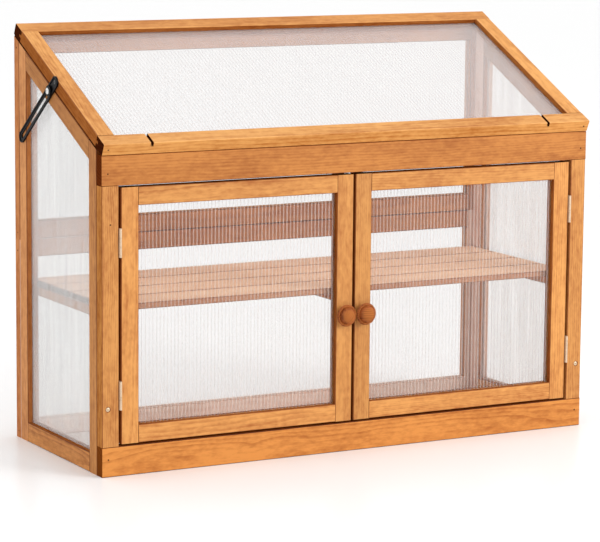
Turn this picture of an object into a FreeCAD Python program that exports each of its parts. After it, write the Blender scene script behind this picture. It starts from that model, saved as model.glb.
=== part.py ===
import FreeCAD, Part
import math
import os

# A wooden mini greenhouse: softwood frames glazed with twin-wall sheet, two doors,
# a slatted shelf and a sloping lid that a slotted stay holds open.
# X runs to the right, Y to the back and Z up, in millimetres. The origin lies on the
# floor, in the middle of the front plinth's underside.

# Overall size
WIDTH = 900.0
DEPTH = 345.0
FRONT_HEIGHT = 508.5          # floor to the top of the header
LID_PITCH = 25.5              # slope of the lid, in degrees

# Boards
BOARD = 20.0                  # thickness of every frame member
STILE = 29.0                  # width of the upright members of the carcass and of the lid's sides
PLINTH_HEIGHT = 48.0
HEADER_HEIGHT = 48.0
SIDE_FOOT_RAIL = 32.0         # height of the side frame's bottom rail
SIDE_TOP_RAIL = 28.5          # width of the side frame's sloping rail, square to the slope
BACK_RAIL = 30.0              # height of the back frames' rails
BACK_SEAM = 335.0             # height of the joint between the two back frames
LID_RAIL = 28.0               # width of the lid's front and back rails
DOOR_STILE = 30.0
DOOR_RAIL = 29.0
EASE = 1.0                    # flat planed along every long arris of a board

# Glazing
PANEL = 4.0                   # thickness of the twin-wall sheet
SKIN = 0.6                    # wall of the sheet
RIB = 0.7                     # wall between two flutes
FLUTE_PITCH = 12.9            # every second rib of the real sheet
GROOVE_DEPTH = 7.0
GROOVE_PLAY = 0.15            # beside the sheet, on each face
EDGE_PLAY = 1.0               # between the sheet's edge and the bottom of its groove
TENON_PLAY = 0.1              # beside a stub tenon, on each face
TENON_SHORT = 0.5             # between a stub tenon's end and the bottom of its groove

# Doors
DOOR_SIDE_GAP = 4.2           # beside each door, and between the two doors
DOOR_END_GAP = 3.0            # above and below each door
KNOB_HEIGHT = 228.0           # floor to the knob's centre
KNOB_SPACING = 36.6           # centre to centre
KNOB_RADIUS = 18.0
KNOB_PROUD = 23.0
KNOB_FOOT_RADIUS = 10.5
KNOB_NECK_RADIUS = 9.0
KNOB_NECK_HEIGHT = 3.5        # door face to the narrowest place of the neck
KNOB_BRIM_HEIGHT = 10.5       # door face to the knob's widest place
KNOB_BRIM_EDGE = 2.5          # how far the brim reaches below and above that place
KNOB_BRIM_INSET = 2.0         # how far the brim has drawn in there
KNOB_DOME_RADIUS = 14.5       # foot of the dome in front of the brim
KNOB_SCREW_DEPTH = 12.0       # how far the screw reaches into the knob

# Door hinges
DOOR_HINGE_LENGTH = 45.6
DOOR_HINGE_LOW = 129.0        # floor to the middle of the lower hinge
DOOR_HINGE_HIGH = 371.0       # floor to the middle of the upper hinge
RIGHT_HINGE_RISE = 6.3        # how much higher the right door's hinges sit
DOOR_LEAF_WIDTH = 15.0        # pin axis to the leaf's free edge
DOOR_LEAF = 1.0               # thickness of the leaf
DOOR_KNUCKLE = 2.2            # radius of the knuckle
DOOR_PIN = 1.1                # radius of the pin
DOOR_PIN_PROUD = 1.8          # pin axis in front of the door's face

# Lid hinges
LID_HINGE_LENGTH = 60.0
LID_HINGE_OFFSET = 290.0      # centre of the lid to the middle of each hinge
LID_LEAF_WIDTH = 19.0
LID_LEAF = 1.2
LID_KNUCKLE = 2.7
LID_PIN = 1.3
KNUCKLES = 3                  # knuckles along each hinge
KNUCKLE_GAP = 0.3             # between neighbouring knuckles
PIN_PLAY = 0.05               # round the pin in its knuckles

# Door catches
CATCH_WIDTH = 18.0
CATCH_DEPTH = 10.0
CATCH_ON_HEADER = 22.0        # height of the catch above the header's lower edge
CATCH_DROP = 15.0             # how far the magnet hangs below the header's lower edge
STRIKE_SIZE = 12.0
STRIKE = 1.2                  # thickness of the strike plate
CATCH_GAP = 0.4               # magnet to strike plate

# Lid
LID_SEAT = 0.3                # lid's underside above the header's front edge
LID_LIP = 0.8                 # lid's front edge beyond the header's face
TOP_GAP = 2.5                 # upright gap between the lid and the frames below it
DRAIN_OFFSET = 367.5          # centre of the lid to each drain slot
DRAIN_WIDTH = 5.0
DRAIN_DEPTH = 7.5

# Shelf
SHELF_HEIGHT = 270.0          # floor to the top of the slats
SLATS = 4
SLAT = 10.0                   # thickness of a slat
SLAT_GAP = 3.0
SHELF_PLAY = 1.0              # round the shelf's edge
CLEAT_WIDTH = 29.0
CLEAT_HEIGHT = 16.0

# Stay on the left side
STAY_PIVOT_TO_BACK = 173.2    # pivot on the lid's side to the greenhouse's back face
STAY_PIVOT_DROP = 4.0         # lid's top face down to the pivot, square to the slope
STAY_ANGLE = 36.5             # fall of the closed arm towards the back, in degrees
STAY_WIDTH = 19.0
STAY_THICKNESS = 3.0
STAY_CENTRES = 169.0          # pivot to the centre of the arm's round lower end
STAY_REST = 26.5              # pivot to the clamp screw with the lid closed
STAY_TRAVEL = 140.0           # how far the arm slides on the clamp screw
STAY_RIM = 2.0                # width of the arm's raised rim
STAY_SUNK = 1.2               # depth of the arm's face inside the rim
STAY_STANDOFF = 1.0           # arm off the greenhouse's side
SLOT_WIDTH = 6.8
SLOT_END_PLAY = 0.3           # clamp bush to the end of the slot
BUSH_PLAY = 0.1               # clamp bush in the slot, on each side
WASHER_RADIUS = 9.0
WASHER = 1.5
FACE_GAP = 0.3                # between faces that turn or slide on each other

# Screws
FRAME_SCREW_HEIGHT = 108.5    # floor to the screw in each front stile
FRAME_SCREW_INSET = 10.0      # greenhouse's side to that screw
FRAME_SCREW_REACH = 38.0      # length of that screw
SCREW_HEAD = 3.4              # radius of the countersunk and small round heads
SCREW_SUNK = 0.9              # how deep the countersunk heads lie
SINK_RADIUS = 4.5             # mouth of the countersink
SCREW_SHANK = 2.1
SCREW_HEAD_HEIGHT = 2.4
CLAMP_HEAD = 5.2
CLAMP_HEAD_HEIGHT = 3.4
CLAMP_SHANK = 2.3
CLAMP_REACH = 14.0            # how far the clamp screw reaches into the side rail
PIVOT_HEAD = 3.3
PIVOT_HEAD_HEIGHT = 1.5
HOLE_PLAY = 0.05              # round a screw's shank

# Planes and lines that several sub-parts share
SLOPE = math.radians(LID_PITCH)
HALF = WIDTH / 2
FRONT = -BOARD / 2
BACK = FRONT + DEPTH
INNER_FRONT = FRONT + BOARD
INNER_BACK = BACK - BOARD
INNER_DEPTH = INNER_BACK - INNER_FRONT
HEADER_BOTTOM = FRONT_HEIGHT - HEADER_HEIGHT
GROOVE_WIDTH = PANEL + 2 * GROOVE_PLAY
TENON = GROOVE_WIDTH - 2 * TENON_PLAY
TENON_LENGTH = GROOVE_DEPTH - TENON_SHORT
PANEL_REACH = GROOVE_DEPTH - EDGE_PLAY
DOOR_WIDTH = (WIDTH - 2 * STILE - 3 * DOOR_SIDE_GAP) / 2
DOOR_BOTTOM = PLINTH_HEIGHT + DOOR_END_GAP
DOOR_HEIGHT = HEADER_BOTTOM - DOOR_END_GAP - DOOR_BOTTOM
DOOR_OUTER = HALF - STILE - DOOR_SIDE_GAP
CATCH_X = DOOR_SIDE_GAP / 2 + DOOR_STILE / 2

X_AXIS = FreeCAD.Vector(1, 0, 0)
Y_AXIS = FreeCAD.Vector(0, 1, 0)
Z_AXIS = FreeCAD.Vector(0, 0, 1)
UP_SLOPE = FreeCAD.Vector(0, math.cos(SLOPE), math.sin(SLOPE))
OFF_SLOPE = FreeCAD.Vector(0, -math.sin(SLOPE), math.cos(SLOPE))


def underside(y):
    """Height of the closed lid's lower face at a depth y."""
    return FRONT_HEIGHT + LID_SEAT + (y - FRONT) * math.tan(SLOPE)


def frame_top(y):
    """Height at which the side and back frames end below the lid."""
    return underside(y) - TOP_GAP


LID_LENGTH = (DEPTH + LID_LIP) / math.cos(SLOPE)
LID_CORNER = FreeCAD.Vector(0, FRONT - LID_LIP, underside(FRONT - LID_LIP))
LID_PIN_OUT = LID_KNUCKLE + FACE_GAP
LID_PIN_AXIS = FreeCAD.Vector(0, BACK + LID_PIN_OUT, underside(BACK) + LID_PIN_OUT * math.tan(SLOPE / 2))

nodes = {}


# Basic shapes
# A frame is drawn flat, with u and v in its plane and w through its thickness.

def seat(shape, origin, along_u, along_v):
    """The shape with its own axes laid along the two given directions, from an origin."""
    through = along_u.cross(along_v)
    matrix = FreeCAD.Matrix(
        along_u.x, along_v.x, through.x, origin.x,
        along_u.y, along_v.y, through.y, origin.y,
        along_u.z, along_v.z, through.z, origin.z,
        0, 0, 0, 1)
    placed = shape.copy()
    placed.Placement = FreeCAD.Placement(matrix).multiply(shape.Placement)
    return placed


def block(low, high):
    """A box between two corners."""
    size = [b - a for a, b in zip(low, high)]
    return Part.makeBox(*size, FreeCAD.Vector(*low))


def bar(u0, u1, v0, v1, thickness=BOARD):
    """A straight member, centred on its frame's plane."""
    return block((u0, v0, -thickness / 2), (u1, v1, thickness / 2))


def slab(points, thickness=BOARD):
    """A member with any straight-sided outline, centred on its frame's plane."""
    corners = [FreeCAD.Vector(u, v, -thickness / 2) for u, v in points]
    outline = Part.makePolygon(corners + corners[:1])
    return Part.Face(outline).extrude(FreeCAD.Vector(0, 0, thickness))


def eased(board, along):
    """A straight board with its long arrises planed off."""
    arrises = []
    for edge in board.Edges:
        direction = edge.tangentAt(edge.FirstParameter)
        if direction.isParallel(along, 1e-6):
            arrises.append(edge)
    return board.makeChamfer(EASE, arrises)


def rod(start, direction, length, radius):
    """A round bar from a point."""
    return Part.makeCylinder(radius, length, start, direction)


def turned(profile, start, direction):
    """A turned piece: edges drawn as radius x and height y, set on a point along a direction."""
    face = Part.Face(Part.Wire(profile))
    solid = face.revolve(FreeCAD.Vector(0, 0, 0), Y_AXIS, 360)
    across = Z_AXIS.cross(direction) if abs(direction.z) < 0.5 else X_AXIS
    return seat(solid, start, across, direction)


def line(a, b):
    """A straight edge of a turned profile."""
    return Part.makeLine(FreeCAD.Vector(*a, 0), FreeCAD.Vector(*b, 0))


def dome(radius, low, high):
    """The round edge of a turned profile that becomes a ball's cap, up to its top on the axis."""
    rise = high - low
    ball = (radius * radius + rise * rise) / (2 * rise)
    half_way = math.asin(radius / ball) / 2
    middle = FreeCAD.Vector(ball * math.sin(half_way), high - ball * (1 - math.cos(half_way)), 0)
    return Part.Arc(FreeCAD.Vector(radius, low, 0), middle, FreeCAD.Vector(0, high, 0)).toShape()


def round_screw(start, direction, head, head_height, shank, length):
    """A screw with a low round head: start is under the head, length is the shank's."""
    profile = [
        line((0, -length), (shank, -length)),
        line((shank, -length), (shank, 0)),
        line((shank, 0), (head, 0)),
        line((head, 0), (head, head_height * 0.4)),
        line((head, head_height * 0.4), (head * 0.6, head_height)),
        line((head * 0.6, head_height), (0, head_height)),
        line((0, head_height), (0, -length)),
    ]
    return turned(profile, start, direction)


def twin_wall(u0, u1, v0, v1):
    """A sheet of two skins with ribs between them, its flutes running along v."""
    half = PANEL / 2
    cell = half - SKIN
    count = int((u1 - u0 - RIB) // FLUTE_PITCH)
    first = (u0 + u1 - count * FLUTE_PITCH + RIB) / 2

    def section(a, b, depth):
        corners = [(a, -depth), (b, -depth), (b, depth), (a, depth), (a, -depth)]
        return Part.makePolygon([FreeCAD.Vector(u, v0, w) for u, w in corners])

    wires = [section(u0, u1, half)]
    for index in range(count):
        start = first + index * FLUTE_PITCH
        wires.append(section(start, start + FLUTE_PITCH - RIB, cell))
    return Part.Face(wires, "Part::FaceMakerBullseye").extrude(FreeCAD.Vector(0, v1 - v0, 0))


def glazed_frame(width, height, through, across, flutes_across=False):
    """Two members running through, two tenoned between them, and the sheet in their groove.

    u runs from one through member to the other and v along them, from a corner.
    Returns the low and high through members, the low and high cross members and the sheet.
    """
    def upright(u0, groove_u):
        groove = bar(groove_u, groove_u + GROOVE_DEPTH, 0, height, GROOVE_WIDTH)
        return eased(bar(u0, u0 + through, 0, height), Y_AXIS).cut(groove)

    def cross(v0, groove_v):
        body = eased(bar(through, width - through, v0, v0 + across), X_AXIS)
        tenons = bar(through - TENON_LENGTH, width - through + TENON_LENGTH, v0, v0 + across, TENON)
        groove = bar(0, width, groove_v, groove_v + GROOVE_DEPTH, GROOVE_WIDTH)
        return body.fuse(tenons).cut(groove).removeSplitter()

    low_through = upright(0, through - GROOVE_DEPTH)
    high_through = upright(width - through, width - through)
    low_cross = cross(0, across - GROOVE_DEPTH)
    high_cross = cross(height - across, height - across)
    u0, u1 = through - PANEL_REACH, width - through + PANEL_REACH
    v0, v1 = across - PANEL_REACH, height - across + PANEL_REACH
    if flutes_across:
        sheet = seat(twin_wall(v0, v1, -u1, -u0), FreeCAD.Vector(0, 0, 0), Y_AXIS, -X_AXIS)
    else:
        sheet = twin_wall(u0, u1, v0, v1)
    return low_through, high_through, low_cross, high_cross, sheet


# Front frame

def build_front_frame():
    """Plinth, header and the two stiles that carry the doors, with a screw in each stile."""
    middle = FreeCAD.Vector(0, 0, 0)
    screws = []
    for name, side in (("left_front_stile", -1), ("right_front_stile", 1)):
        low, high = sorted((side * HALF, side * (HALF - STILE)))
        stile = eased(bar(low, high, PLINTH_HEIGHT, HEADER_BOTTOM), Y_AXIS)
        stile = seat(stile, middle, X_AXIS, Z_AXIS)
        nodes[name] = stile.cut([frame_screw(side, HOLE_PLAY), countersink(side)])
        screws.append(frame_screw(side))
    plinth = eased(bar(-HALF, HALF, 0, PLINTH_HEIGHT), X_AXIS)
    header = eased(bar(-HALF, HALF, HEADER_BOTTOM, FRONT_HEIGHT), X_AXIS)
    nodes["plinth"] = seat(plinth, middle, X_AXIS, Z_AXIS)
    nodes["header"] = seat(header, middle, X_AXIS, Z_AXIS)
    nodes["frame_screws"] = Part.makeCompound(screws)


def frame_screw(side, play=0.0):
    """The countersunk screw that holds a front stile to the side frame behind it."""
    head = SCREW_HEAD + play
    shank = SCREW_SHANK + play
    reach = FRAME_SCREW_REACH + play
    profile = [
        line((0, 0), (head, 0)),
        line((head, 0), (shank, -SCREW_HEAD_HEIGHT)),
        line((shank, -SCREW_HEAD_HEIGHT), (shank, -reach)),
        line((shank, -reach), (0, -reach)),
        line((0, -reach), (0, 0)),
    ]
    return turned(profile, frame_screw_place(side) + Y_AXIS * SCREW_SUNK, -Y_AXIS)


def frame_screw_place(side):
    """Where a frame screw's axis meets the front stile's face."""
    return FreeCAD.Vector(side * (HALF - FRAME_SCREW_INSET), FRONT, FRAME_SCREW_HEIGHT)


def countersink(side):
    """The room in front of a frame screw's sunk head."""
    return Part.makeCone(SINK_RADIUS, SCREW_HEAD + HOLE_PLAY, SCREW_SUNK, frame_screw_place(side), Y_AXIS)


# Side frames

def build_side_frames():
    """A left and a right frame with a sloping top, each of four members and a sheet."""
    rear = INNER_BACK - STILE
    front = INNER_FRONT + STILE
    rise = SIDE_TOP_RAIL / math.cos(SLOPE)
    groove_rise = GROOVE_DEPTH / math.cos(SLOPE)
    panel_rise = PANEL_REACH / math.cos(SLOPE)

    def stile(y0, y1, groove_y):
        outline = [(y0, 0), (y1, 0), (y1, frame_top(y1)), (y0, frame_top(y0))]
        groove = bar(groove_y, groove_y + GROOVE_DEPTH, 0, frame_top(y1), GROOVE_WIDTH)
        return eased(slab(outline), Y_AXIS).cut(groove)

    def sloping(y0, y1, low, high, thickness):
        """A band that follows the slope, from low to high above the top rail's lower edge."""
        base = [(y, frame_top(y) - rise) for y in (y0, y1)]
        outline = [(y, z + low) for y, z in base] + [(y, z + high) for y, z in reversed(base)]
        return slab(outline, thickness)

    foot = eased(bar(front, rear, 0, SIDE_FOOT_RAIL), X_AXIS)
    foot = foot.fuse(bar(front - TENON_LENGTH, rear + TENON_LENGTH, 0, SIDE_FOOT_RAIL, TENON))
    foot_groove = SIDE_FOOT_RAIL - GROOVE_DEPTH
    foot = foot.cut(bar(INNER_FRONT, INNER_BACK, foot_groove, SIDE_FOOT_RAIL, GROOVE_WIDTH))
    up_slope = FreeCAD.Vector(math.cos(SLOPE), math.sin(SLOPE), 0)
    top = eased(sloping(front, rear, 0, rise, BOARD), up_slope)
    top = top.fuse(sloping(front - TENON_LENGTH, rear + TENON_LENGTH, 0, rise, TENON))
    top = top.cut(sloping(INNER_FRONT, INNER_BACK, 0, groove_rise, GROOVE_WIDTH))
    y0, y1 = front - PANEL_REACH, rear + PANEL_REACH
    sheet = twin_wall(y0, y1, SIDE_FOOT_RAIL - PANEL_REACH, frame_top(y1))
    above = sloping(y0 - PANEL, y1 + PANEL, panel_rise, frame_top(y1), BOARD)
    pieces = {
        "front_stile": stile(INNER_FRONT, front, front - GROOVE_DEPTH),
        "rear_stile": stile(rear, INNER_BACK, rear),
        "bottom_rail": foot.removeSplitter(),
        "top_rail": top.removeSplitter(),
        "panel": sheet.cut(above),
    }
    for label, side in (("left", -1), ("right", 1)):
        plane = FreeCAD.Vector(side * (HALF - BOARD / 2), 0, 0)
        for piece, shape in pieces.items():
            nodes[f"{label}_side_{piece}"] = seat(shape, plane, Y_AXIS, Z_AXIS)
        stile_name = f"{label}_side_front_stile"
        nodes[stile_name] = nodes[stile_name].cut(frame_screw(side, HOLE_PLAY))
    clamp_hole = rod(
        stay_point(STAY_REST, 0), X_AXIS, CLAMP_REACH + HOLE_PLAY, CLAMP_SHANK + HOLE_PLAY)
    nodes["left_side_top_rail"] = nodes["left_side_top_rail"].cut(clamp_hole)


# Back wall

def build_back_wall():
    """Two glazed frames, one on the other, the upper one bevelled to the lid's slope."""
    plane = FreeCAD.Vector(-HALF, BACK - BOARD / 2, 0)
    names = ("left_stile", "right_stile", "bottom_rail", "top_rail", "panel")
    y0, y1 = INNER_BACK - BOARD, BACK + BOARD
    under_lid = slab([(y0, 0), (y1, 0), (y1, frame_top(y1)), (y0, frame_top(y0))], 2 * WIDTH)
    room = seat(under_lid, FreeCAD.Vector(0, 0, 0), Y_AXIS, Z_AXIS)
    for label, low, high in (("lower", 0, BACK_SEAM), ("upper", BACK_SEAM, frame_top(BACK))):
        shapes = glazed_frame(WIDTH, high - low, STILE, BACK_RAIL)
        for name, shape in zip(names, shapes):
            placed = seat(shape, plane + Z_AXIS * low, X_AXIS, Z_AXIS)
            trimmed = label == "upper" and name in ("left_stile", "right_stile", "top_rail")
            nodes[f"back_{label}_{name}"] = placed.common(room) if trimmed else placed


# Doors

def knob_profile():
    """Half the outline of the mushroom knob, with the bore for its screw."""
    bore = SCREW_SHANK + HOLE_PLAY
    depth = KNOB_SCREW_DEPTH + HOLE_PLAY
    rim = KNOB_RADIUS - KNOB_BRIM_INSET
    under = KNOB_BRIM_HEIGHT - KNOB_BRIM_EDGE
    over = KNOB_BRIM_HEIGHT + KNOB_BRIM_EDGE
    return [
        line((bore, 0), (KNOB_FOOT_RADIUS, 0)),
        line((KNOB_FOOT_RADIUS, 0), (KNOB_NECK_RADIUS, KNOB_NECK_HEIGHT)),
        line((KNOB_NECK_RADIUS, KNOB_NECK_HEIGHT), (rim, under)),
        line((rim, under), (KNOB_RADIUS, KNOB_BRIM_HEIGHT)),
        line((KNOB_RADIUS, KNOB_BRIM_HEIGHT), (rim, over)),
        line((rim, over), (KNOB_DOME_RADIUS, over - KNOB_BRIM_INSET / 4)),
        dome(KNOB_DOME_RADIUS, over - KNOB_BRIM_INSET / 4, KNOB_PROUD),
        line((0, KNOB_PROUD), (0, depth)),
        line((0, depth), (bore, depth)),
        line((bore, depth), (bore, 0)),
    ]


def build_doors():
    """Two glazed doors, each with a knob, its screw and a strike plate for the catch."""
    for label, side in (("left", -1), ("right", 1)):
        corner_x = -DOOR_OUTER if side < 0 else DOOR_OUTER - DOOR_WIDTH
        corner = FreeCAD.Vector(corner_x, 0, DOOR_BOTTOM)
        names = ["hinge_stile", "meeting_stile", "bottom_rail", "top_rail", "panel"]
        if side > 0:
            names[:2] = names[1::-1]
        for name, shape in zip(names, glazed_frame(DOOR_WIDTH, DOOR_HEIGHT, DOOR_STILE, DOOR_RAIL)):
            nodes[f"{label}_door_{name}"] = seat(shape, corner, X_AXIS, Z_AXIS)
        knob_x = side * KNOB_SPACING / 2
        on_face = FreeCAD.Vector(knob_x, FRONT, KNOB_HEIGHT)
        on_back = FreeCAD.Vector(knob_x, INNER_FRONT, KNOB_HEIGHT)
        hole = rod(on_face, Y_AXIS, BOARD, SCREW_SHANK + HOLE_PLAY)
        meeting = f"{label}_door_meeting_stile"
        nodes[meeting] = nodes[meeting].cut(hole)
        nodes[f"{label}_knob"] = turned(knob_profile(), on_face, -Y_AXIS)
        nodes[f"{label}_knob_screw"] = round_screw(
            on_back, Y_AXIS, SCREW_HEAD, SCREW_HEAD_HEIGHT, SCREW_SHANK, BOARD + KNOB_SCREW_DEPTH)
        strike_top = DOOR_BOTTOM + DOOR_HEIGHT - STRIKE
        nodes[f"{label}_strike_plate"] = block(
            (side * CATCH_X - STRIKE_SIZE / 2, INNER_FRONT, strike_top - STRIKE_SIZE),
            (side * CATCH_X + STRIKE_SIZE / 2, INNER_FRONT + STRIKE, strike_top))


def build_catches():
    """A magnetic catch for each door, on the back of the header."""
    catches = []
    for side in (-1, 1):
        x0 = side * CATCH_X - CATCH_WIDTH / 2
        x1 = side * CATCH_X + CATCH_WIDTH / 2
        base = block((x0, INNER_FRONT, HEADER_BOTTOM),
                     (x1, INNER_FRONT + CATCH_DEPTH, HEADER_BOTTOM + CATCH_ON_HEADER))
        magnet = block((x0, INNER_FRONT + STRIKE + CATCH_GAP, HEADER_BOTTOM - CATCH_DROP),
                       (x1, INNER_FRONT + CATCH_DEPTH, HEADER_BOTTOM))
        catches.append(base.fuse(magnet).removeSplitter())
    nodes["door_catches"] = Part.makeCompound(catches)


# Hinges
# A leaf is drawn with its pin along the third axis, from the middle of its length.
# The wood it lies on is on the negative side of the first axis, and the leaf reaches along the second.

def hinge_leaf(length, width, leaf, knuckle, pin, face, own):
    """One leaf with its knuckles: own is 0 for the outer knuckles and 1 for the middle one."""
    step = length / KNUCKLES
    plate = block((-face, 0, -length / 2), (-face + leaf, width, length / 2))
    barrels = []
    for index in range(KNUCKLES):
        low = -length / 2 + index * step
        start = low + (KNUCKLE_GAP / 2 if index else 0)
        end = low + step - (KNUCKLE_GAP / 2 if index < KNUCKLES - 1 else 0)
        if index % 2 == own:
            barrels.append(rod(FreeCAD.Vector(0, 0, start), Z_AXIS, end - start, knuckle))
        else:
            reach = knuckle + KNUCKLE_GAP
            room = block((-reach, -reach, start - KNUCKLE_GAP), (reach, reach, end + KNUCKLE_GAP))
            plate = plate.cut(room)
    solid = plate.fuse(barrels)
    bore = rod(FreeCAD.Vector(0, 0, -length), Z_AXIS, 2 * length, pin + PIN_PLAY)
    return solid.cut(bore).removeSplitter()


def hinge_pin(length, pin):
    """The pin of a hinge, from the middle of its length."""
    return rod(FreeCAD.Vector(0, 0, -length / 2), Z_AXIS, length, pin)


def build_door_hinges():
    """Two small butt hinges on each door, in the gap between the door and its stile."""
    sizes = (DOOR_HINGE_LENGTH, DOOR_LEAF_WIDTH, DOOR_LEAF, DOOR_KNUCKLE, DOOR_PIN, DOOR_SIDE_GAP / 2)
    frame_leaf = hinge_leaf(*sizes, 0)
    door_leaf = hinge_leaf(*sizes, 1)
    pin = hinge_pin(DOOR_HINGE_LENGTH, DOOR_PIN)
    frame_leaves = []
    pins = []
    for label, side in (("left", -1), ("right", 1)):
        door_leaves = []
        off_frame = -X_AXIS * side
        rise = RIGHT_HINGE_RISE if side > 0 else 0
        for height in (DOOR_HINGE_LOW + rise, DOOR_HINGE_HIGH + rise):
            axis = FreeCAD.Vector(side * (DOOR_OUTER + DOOR_SIDE_GAP / 2), FRONT - DOOR_PIN_PROUD, height)
            frame_leaves.append(seat(frame_leaf, axis, off_frame, Y_AXIS))
            door_leaves.append(seat(door_leaf, axis, -off_frame, Y_AXIS))
            pins.append(seat(pin, axis, off_frame, Y_AXIS))
        nodes[f"{label}_door_hinge_leaves"] = Part.makeCompound(door_leaves)
    nodes["frame_hinge_leaves"] = Part.makeCompound(frame_leaves)
    nodes["door_hinge_pins"] = Part.makeCompound(pins)


def build_lid_hinges():
    """Two butt hinges behind the lid, on its back edge and on the back wall's top rail."""
    sizes = (LID_HINGE_LENGTH, LID_LEAF_WIDTH, LID_LEAF, LID_KNUCKLE, LID_PIN, LID_PIN_OUT)
    fixed_leaf = hinge_leaf(*sizes, 0)
    moving_leaf = hinge_leaf(*sizes, 1)
    pin = hinge_pin(LID_HINGE_LENGTH, LID_PIN)
    groups = {"wall_hinge_leaves": [], "lid_hinge_leaves": [], "lid_hinge_pins": []}
    for side in (-1, 1):
        axis = LID_PIN_AXIS + X_AXIS * (side * LID_HINGE_OFFSET)
        groups["wall_hinge_leaves"].append(seat(fixed_leaf, axis, Y_AXIS, -Z_AXIS))
        groups["lid_hinge_leaves"].append(seat(moving_leaf, axis, UP_SLOPE, OFF_SLOPE))
        groups["lid_hinge_pins"].append(seat(pin, axis, Y_AXIS, -Z_AXIS))
    for name, shapes in groups.items():
        nodes[name] = Part.makeCompound(shapes)


# Lid

def build_lid():
    """Full-width front and back rails, two stiles between them and a sheet with flutes down the slope."""
    corner = LID_CORNER + X_AXIS * HALF + OFF_SLOPE * (BOARD / 2)
    names = ("front_rail", "back_rail", "right_stile", "left_stile", "panel")
    for name, shape in zip(names, glazed_frame(LID_LENGTH, WIDTH, LID_RAIL, STILE, flutes_across=True)):
        nodes[f"lid_{name}"] = seat(shape, corner, UP_SLOPE, -X_AXIS)
    for side in (-1, 1):
        middle = HALF + side * DRAIN_OFFSET
        slot = block((-BOARD, middle - DRAIN_WIDTH / 2, BOARD / 2 - DRAIN_DEPTH),
                     (LID_RAIL + BOARD, middle + DRAIN_WIDTH / 2, BOARD))
        nodes["lid_front_rail"] = nodes["lid_front_rail"].cut(seat(slot, corner, UP_SLOPE, -X_AXIS))


# Shelf

def build_shelf():
    """Slats from side to side, on three like cleats: one at each side and one under their middle."""
    inner_half = HALF - BOARD
    usable = INNER_DEPTH - 2 * SHELF_PLAY
    slat_width = (usable - (SLATS - 1) * SLAT_GAP) / SLATS
    slat_bottom = SHELF_HEIGHT - SLAT
    slats = []
    for index in range(SLATS):
        y0 = INNER_FRONT + SHELF_PLAY + index * (slat_width + SLAT_GAP)
        slat = block((SHELF_PLAY - inner_half, y0, slat_bottom),
                     (inner_half - SHELF_PLAY, y0 + slat_width, SHELF_HEIGHT))
        slats.append(eased(slat, X_AXIS))
    nodes["shelf_slats"] = Part.makeCompound(slats)
    cleats = []
    for x0 in (-inner_half, -CLEAT_WIDTH / 2, inner_half - CLEAT_WIDTH):
        cleat = block((x0, INNER_FRONT + SHELF_PLAY, slat_bottom - CLEAT_HEIGHT),
                      (x0 + CLEAT_WIDTH, INNER_BACK - SHELF_PLAY, slat_bottom))
        cleats.append(eased(cleat, Y_AXIS))
    nodes["shelf_cleats"] = Part.makeCompound(cleats)


# Stay
# The arm is drawn with u along it from the pivot, and w out from the greenhouse's left side.

def stay_frame():
    """Origin and directions of the arm's own axes."""
    run = DEPTH - STAY_PIVOT_TO_BACK
    top_face = underside(FRONT + run) + BOARD / math.cos(SLOPE)
    pivot = FreeCAD.Vector(-HALF, FRONT + run, top_face - STAY_PIVOT_DROP / math.cos(SLOPE))
    fall = math.radians(STAY_ANGLE)
    along = FreeCAD.Vector(0, math.cos(fall), -math.sin(fall))
    across = FreeCAD.Vector(0, -math.sin(fall), -math.cos(fall))
    return pivot, along, across


def stay_point(u, w):
    """A point on the arm's centre line, at a distance u from the pivot and w off the side."""
    pivot, along, across = stay_frame()
    return pivot + along * u + along.cross(across) * w


def stadium(u0, u1, radius, w0, w1):
    """A bar with round ends, from centre to centre."""
    low = FreeCAD.Vector(u0, 0, w0)
    high = FreeCAD.Vector(u1, 0, w0)
    side = FreeCAD.Vector(0, radius, 0)
    edges = [
        Part.makeLine(low - side, high - side),
        Part.Arc(high - side, high + FreeCAD.Vector(radius, 0, 0), high + side).toShape(),
        Part.makeLine(high + side, low + side),
        Part.Arc(low + side, low - FreeCAD.Vector(radius, 0, 0), low - side).toShape(),
    ]
    return Part.Face(Part.Wire(edges)).extrude(FreeCAD.Vector(0, 0, w1 - w0))


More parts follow.
